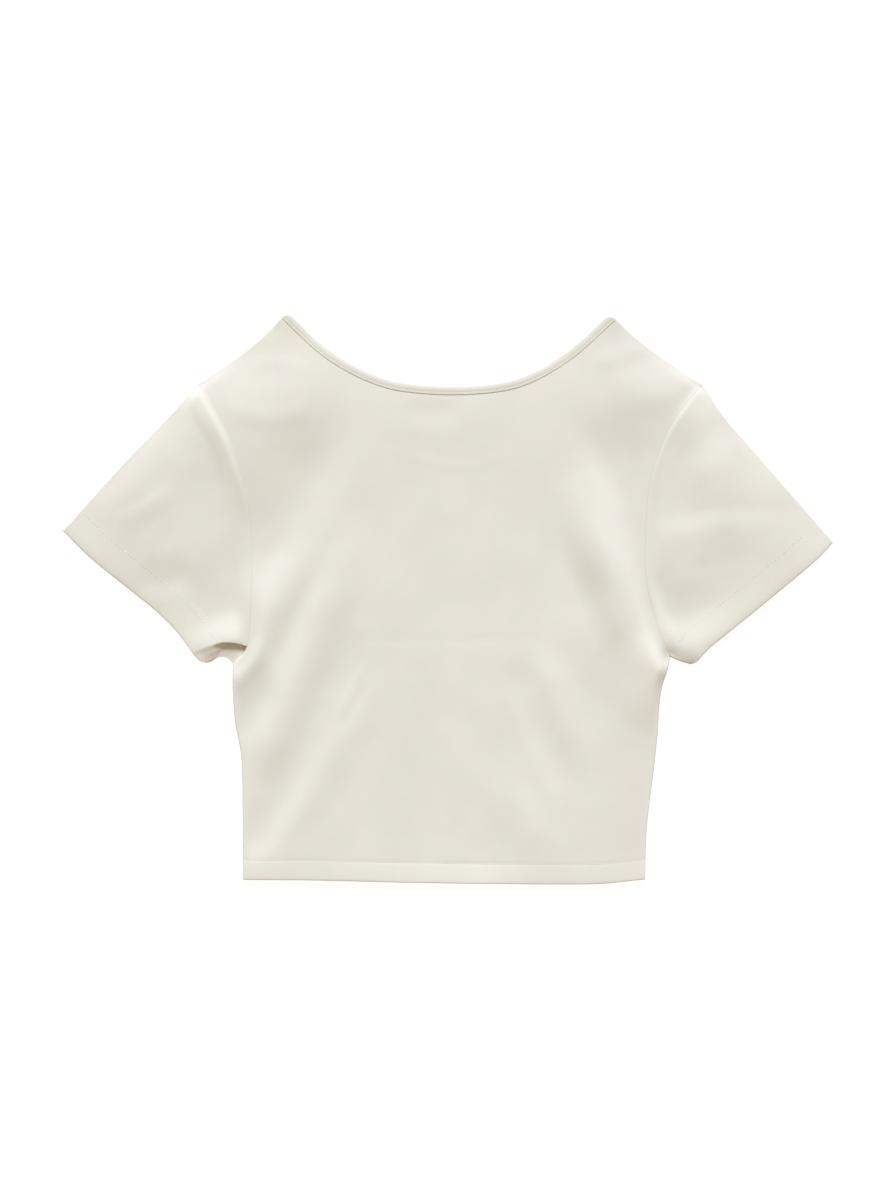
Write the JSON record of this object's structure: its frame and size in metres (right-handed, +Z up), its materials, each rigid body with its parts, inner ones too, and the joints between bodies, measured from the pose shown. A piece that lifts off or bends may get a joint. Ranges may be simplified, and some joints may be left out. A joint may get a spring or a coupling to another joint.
{
  "type": "crop top",
  "caption": "Short-sleeved cropped T-shirt in cream jersey with a wide scoop neck and narrow neck binding, laid out flat with its back up.",
  "frame": {"origin": "centre of the garment's box, on the table it lies on", "axes": "+Z up from the table, +Y from hem to neck, +X towards the wearer's right sleeve; the back is up"},
  "size_m": [0.6172, 0.4556, 0.0075],
  "materials": {
    "jersey": "smooth matt cotton jersey, cream",
    "binding": "folded strip of the same cream jersey",
    "thread": "cream sewing thread"
  },
  "bodies": {
    "root": {"back_panel": "jersey", "front_panel": "jersey", "sleeve_left": "jersey", "sleeve_right": "jersey", "neck_binding_back": "binding", "neck_binding_front": "binding"}
  },
  "joints": []
}
